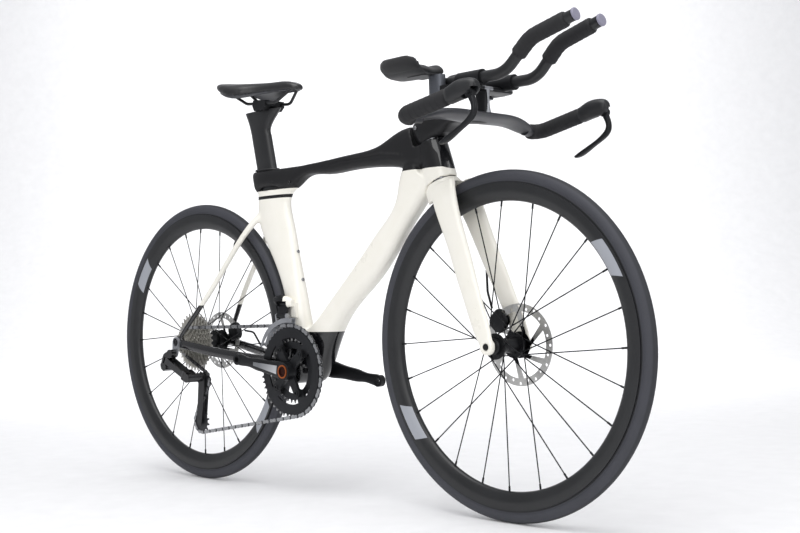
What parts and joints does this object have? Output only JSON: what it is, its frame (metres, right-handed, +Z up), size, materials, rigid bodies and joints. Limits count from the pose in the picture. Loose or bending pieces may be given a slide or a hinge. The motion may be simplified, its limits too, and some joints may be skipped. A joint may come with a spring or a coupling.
{
  "type": "time trial bike",
  "caption": "Time-trial bicycle with deep aerodynamic frame tubes, spoked disc-brake wheels, chain drive with derailleurs, base bar with arm rests and extensions, and a slim saddle.",
  "frame": {"origin": "on the ground, midway between the wheels, in the middle plane", "axes": "+X forward, +Y to the rider's left, +Z up"},
  "size_m": [1.6479, 0.4326, 0.952],
  "materials": {
    "frame_white": "clear-coated composite",
    "frame_black": "satin composite",
    "bearing_steel": "ground",
    "black_alloy": "black anodised",
    "hanger_alloy": "bead blasted",
    "chain_steel": "plated",
    "spoke_steel": "black oxide",
    "rim_composite": "satin composite",
    "tyre_rubber": "matt rubber",
    "grip_tape": "ribbed",
    "pad_foam": "woven",
    "saddle_skin": "smooth",
    "black_plastic": "moulded",
    "button_plastic": "moulded"
  },
  "bodies": {
    "frame": {"top_tube": "frame_black", "head_tube": "frame_black", "down_tube": "frame_white", "seat_tube": "frame_white", "bottom_bracket_shell": "frame_black", "chainstays": "frame_black", "seatstays": "frame_white", "frame_bearings": "bearing_steel", "seat_post_clamp": "frame_black", "rear_axle": "bearing_steel", "rear_brake_caliper": "black_alloy", "derailleur_hanger": "hanger_alloy", "front_derailleur_body": "black_alloy", "chain": "chain_steel", "derailleur_mount_knuckle": "black_alloy"},
    "outer_link": {"derailleur_outer_link": "black_alloy"},
    "inner_link": {"derailleur_inner_link": "black_alloy"},
    "cage_knuckle": {"derailleur_cage_knuckle": "black_alloy"},
    "cage": {"derailleur_cage": "black_alloy"},
    "guide_pulley_body": {"guide_pulley": "black_plastic"},
    "tension_pulley_body": {"tension_pulley": "black_plastic"},
    "front_link": {"front_derailleur_link": "black_alloy"},
    "front_cage": {"front_derailleur_cage": "hanger_alloy"},
    "crank": {"crank_spindle": "hanger_alloy", "crank_arm_right": "black_alloy", "crank_arm_left": "black_alloy", "outer_chainring": "black_alloy", "inner_chainring": "black_alloy"},
    "sprockets": {"cassette": "chain_steel", "freehub_body": "bearing_steel"},
    "rear_wheel": {"rear_tyre": "tyre_rubber", "rear_rim": "rim_composite", "rear_spokes": "spoke_steel", "rear_hub": "black_alloy", "rear_rotor": "chain_steel"},
    "steering": {"fork": "frame_white", "front_axle": "bearing_steel", "front_brake_caliper": "black_alloy", "stem": "black_alloy", "base_bar": "black_alloy", "bar_tape": "grip_tape", "brake_hoods": "grip_tape", "extension_bars": "black_alloy", "riser_tower": "black_alloy", "arm_rests": "black_alloy", "arm_pads": "pad_foam"},
    "lever_right": {"brake_lever_right": "black_plastic"},
    "lever_left": {"brake_lever_left": "black_plastic"},
    "button_right": {"shift_button_right": "button_plastic"},
    "button_left": {"shift_button_left": "button_plastic"},
    "front_wheel": {"front_tyre": "tyre_rubber", "front_rim": "rim_composite", "front_spokes": "spoke_steel", "front_hub": "black_alloy", "front_rotor": "chain_steel"},
    "post": {"seat_post": "frame_black", "saddle_clamp": "black_alloy"},
    "saddle": {"saddle_rails": "spoke_steel", "saddle_shell": "black_plastic", "saddle_cover": "saddle_skin"}
  },
  "joints": [
    {"name": "steer", "type": "hinge", "parent": "frame", "child": "steering", "pos_m": [0.33681, 0, 0.66478], "axis": [-0.3007, 0, 0.9537], "range_deg": [-40, 40]},
    {"name": "front_wheel_spin", "type": "hinge", "parent": "steering", "child": "front_wheel", "pos_m": [0.4875, 0, 0.3365], "axis": [0, 1, 0], "continuous": true},
    {"name": "rear_wheel_spin", "type": "hinge", "parent": "frame", "child": "rear_wheel", "pos_m": [-0.4875, 0, 0.3365], "axis": [0, 1, 0], "continuous": true},
    {"name": "crank_spin", "type": "hinge", "parent": "frame", "child": "crank", "pos_m": [-0.09774, 0, 0.2755], "axis": [0, 1, 0], "continuous": true, "deforming": ["chain"]},
    {"name": "sprocket_spin", "type": "hinge", "parent": "frame", "child": "sprockets", "pos_m": [-0.4875, 0, 0.3365], "axis": [0, 1, 0], "continuous": true, "deforming": ["chain"]},
    {"name": "link_swing", "type": "hinge", "parent": "frame", "child": "outer_link", "pos_m": [-0.5115, -0.094, 0.2925], "axis": [0.4226, 0, 0.9063], "range_deg": [-13.4, 16], "deforming": ["chain"]},
    {"name": "inner_link_swing", "type": "hinge", "parent": "frame", "child": "inner_link", "pos_m": [-0.5115, -0.076, 0.2925], "axis": [0.4226, 0, 0.9063], "range_deg": [-13.4, 16], "deforming": ["chain"]},
    {"name": "knuckle_swing", "type": "hinge", "parent": "outer_link", "child": "cage_knuckle", "pos_m": [-0.44171, -0.094, 0.25996], "axis": [0.4226, 0, 0.9063], "range_deg": [-16, 13.4], "deforming": ["chain"]},
    {"name": "cage_swing", "type": "hinge", "parent": "cage_knuckle", "child": "cage", "pos_m": [-0.42585, -0.085, 0.25256], "axis": [0, -1, 0], "range_deg": [0, 50], "stiffness_Nm_per_rad": 0.3, "springref_deg": -28.65, "deforming": ["chain"]},
    {"name": "guide_pulley_spin", "type": "hinge", "parent": "cage", "child": "guide_pulley_body", "pos_m": [-0.42485, -0.0474, 0.24406], "axis": [0, 1, 0], "continuous": true, "deforming": ["chain"]},
    {"name": "tension_pulley_spin", "type": "hinge", "parent": "cage", "child": "tension_pulley_body", "pos_m": [-0.43637, -0.0474, 0.14574], "axis": [0, 1, 0], "continuous": true, "deforming": ["chain"]},
    {"name": "front_link_swing", "type": "hinge", "parent": "frame", "child": "front_link", "pos_m": [-0.13475, -0.031, 0.4255], "axis": [1, 0, 0], "range_deg": [0, 16], "deforming": ["chain"]},
    {"name": "front_cage_swing", "type": "hinge", "parent": "front_link", "child": "front_cage", "pos_m": [-0.13475, -0.039, 0.3985], "axis": [1, 0, 0], "range_deg": [-16, 0], "deforming": ["chain"]},
    {"name": "lever_right_pull", "type": "hinge", "parent": "steering", "child": "lever_right", "pos_m": [0.58818, -0.199, 0.78878], "axis": [0, 1, 0], "range_deg": [0, 22], "stiffness_Nm_per_rad": 0.6, "springref_deg": -22.92},
    {"name": "lever_left_pull", "type": "hinge", "parent": "steering", "child": "lever_left", "pos_m": [0.58818, 0.199, 0.78878], "axis": [0, 1, 0], "range_deg": [0, 22], "stiffness_Nm_per_rad": 0.6, "springref_deg": -22.92},
    {"name": "button_right_press", "type": "slide", "parent": "steering", "child": "button_right", "axis": [-0.9669, -0.0404, -0.2519], "range_m": [0, 0.002], "stiffness_N_per_m": 800, "springref_m": -0.001},
    {"name": "button_left_press", "type": "slide", "parent": "steering", "child": "button_left", "axis": [-0.9669, 0.0404, -0.2519], "range_m": [0, 0.002], "stiffness_N_per_m": 800, "springref_m": -0.001},
    {"name": "post_height", "type": "slide", "parent": "frame", "child": "post", "axis": [-0.2164, 0, 0.9763], "range_m": [-0.02, 0.06]},
    {"name": "saddle_fore_aft", "type": "slide", "parent": "post", "child": "saddle", "axis": [0.9962, 0, -0.0872], "range_m": [-0.015, 0.015]}
  ],
  "couplings": [
    {"joint": "sprocket_spin", "follows": "crank_spin", "ratio": 2.9412},
    {"joint": "guide_pulley_spin", "follows": "crank_spin", "ratio": -4.5455},
    {"joint": "tension_pulley_spin", "follows": "crank_spin", "ratio": 3.8462},
    {"joint": "inner_link_swing", "follows": "link_swing", "ratio": 1},
    {"joint": "knuckle_swing", "follows": "link_swing", "ratio": -1},
    {"joint": "front_cage_swing", "follows": "front_link_swing", "ratio": -1}
  ]
}
